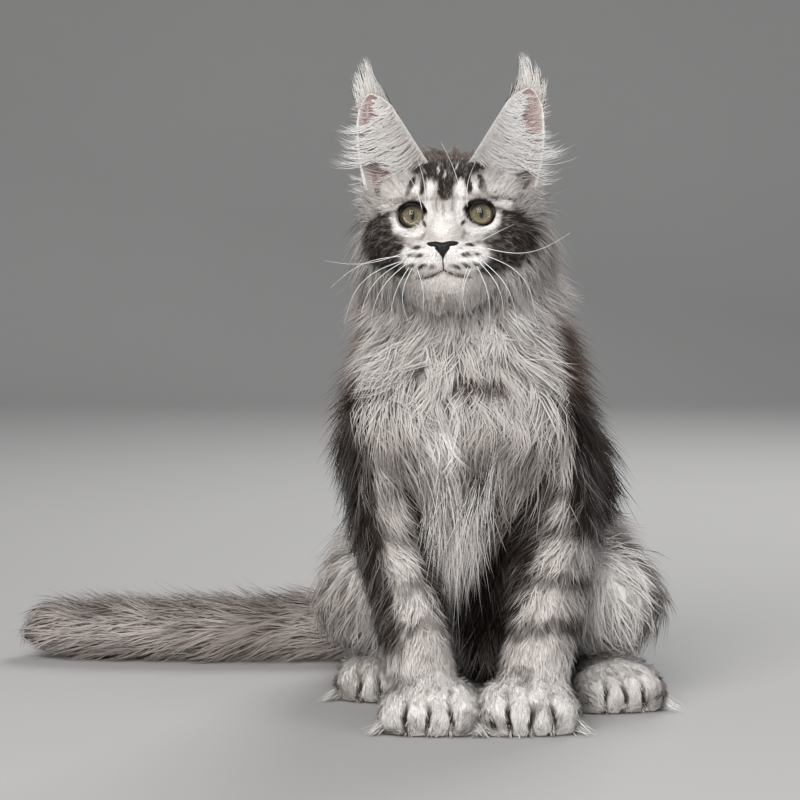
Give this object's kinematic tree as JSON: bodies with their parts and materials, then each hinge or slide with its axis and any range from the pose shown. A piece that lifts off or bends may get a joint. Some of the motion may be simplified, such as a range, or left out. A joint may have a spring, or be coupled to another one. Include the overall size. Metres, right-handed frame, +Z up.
{
  "type": "life-size cat model",
  "caption": "Life-size still model of a long-haired tabby kitten sitting upright, tail laid along the floor.",
  "frame": {"origin": "on the floor under the middle of the seat, where the rump rests", "axes": "+Z up; the kitten's body faces -Y; +X is its left side, and the tail runs along the floor towards -X"},
  "size_m": [0.4293, 0.2937, 0.3979],
  "materials": {
    "tabby_coat": "dense long fur, silver grey with dark tabby marks",
    "face_fur": "short fur with dark cheeks and white round the eyes",
    "pale_fur": "pale fur of the chin, bib and paws",
    "ear_fur": "thin skin with short fur, pale hair inside",
    "eye": "wet and clear",
    "nose_leather": "fine grained, a little moist"
  },
  "bodies": {
    "root": {"ear_left": "ear_fur", "ear_right": "ear_fur", "eye_left": "eye", "eye_right": "eye", "forearm_left": "tabby_coat", "forearm_right": "tabby_coat", "forepaw_left": "pale_fur", "forepaw_right": "pale_fur", "head": "face_fur", "hind_foot_left": "pale_fur", "hind_foot_right": "pale_fur", "jaw": "pale_fur", "neck": "tabby_coat", "nose": "nose_leather", "shoulder_left": "tabby_coat", "shoulder_right": "tabby_coat", "tail_1": "tabby_coat", "tail_2": "tabby_coat", "tail_3": "tabby_coat", "tail_4": "tabby_coat", "thigh_left": "tabby_coat", "thigh_right": "tabby_coat", "torso": "tabby_coat"}
  },
  "joints": []
}
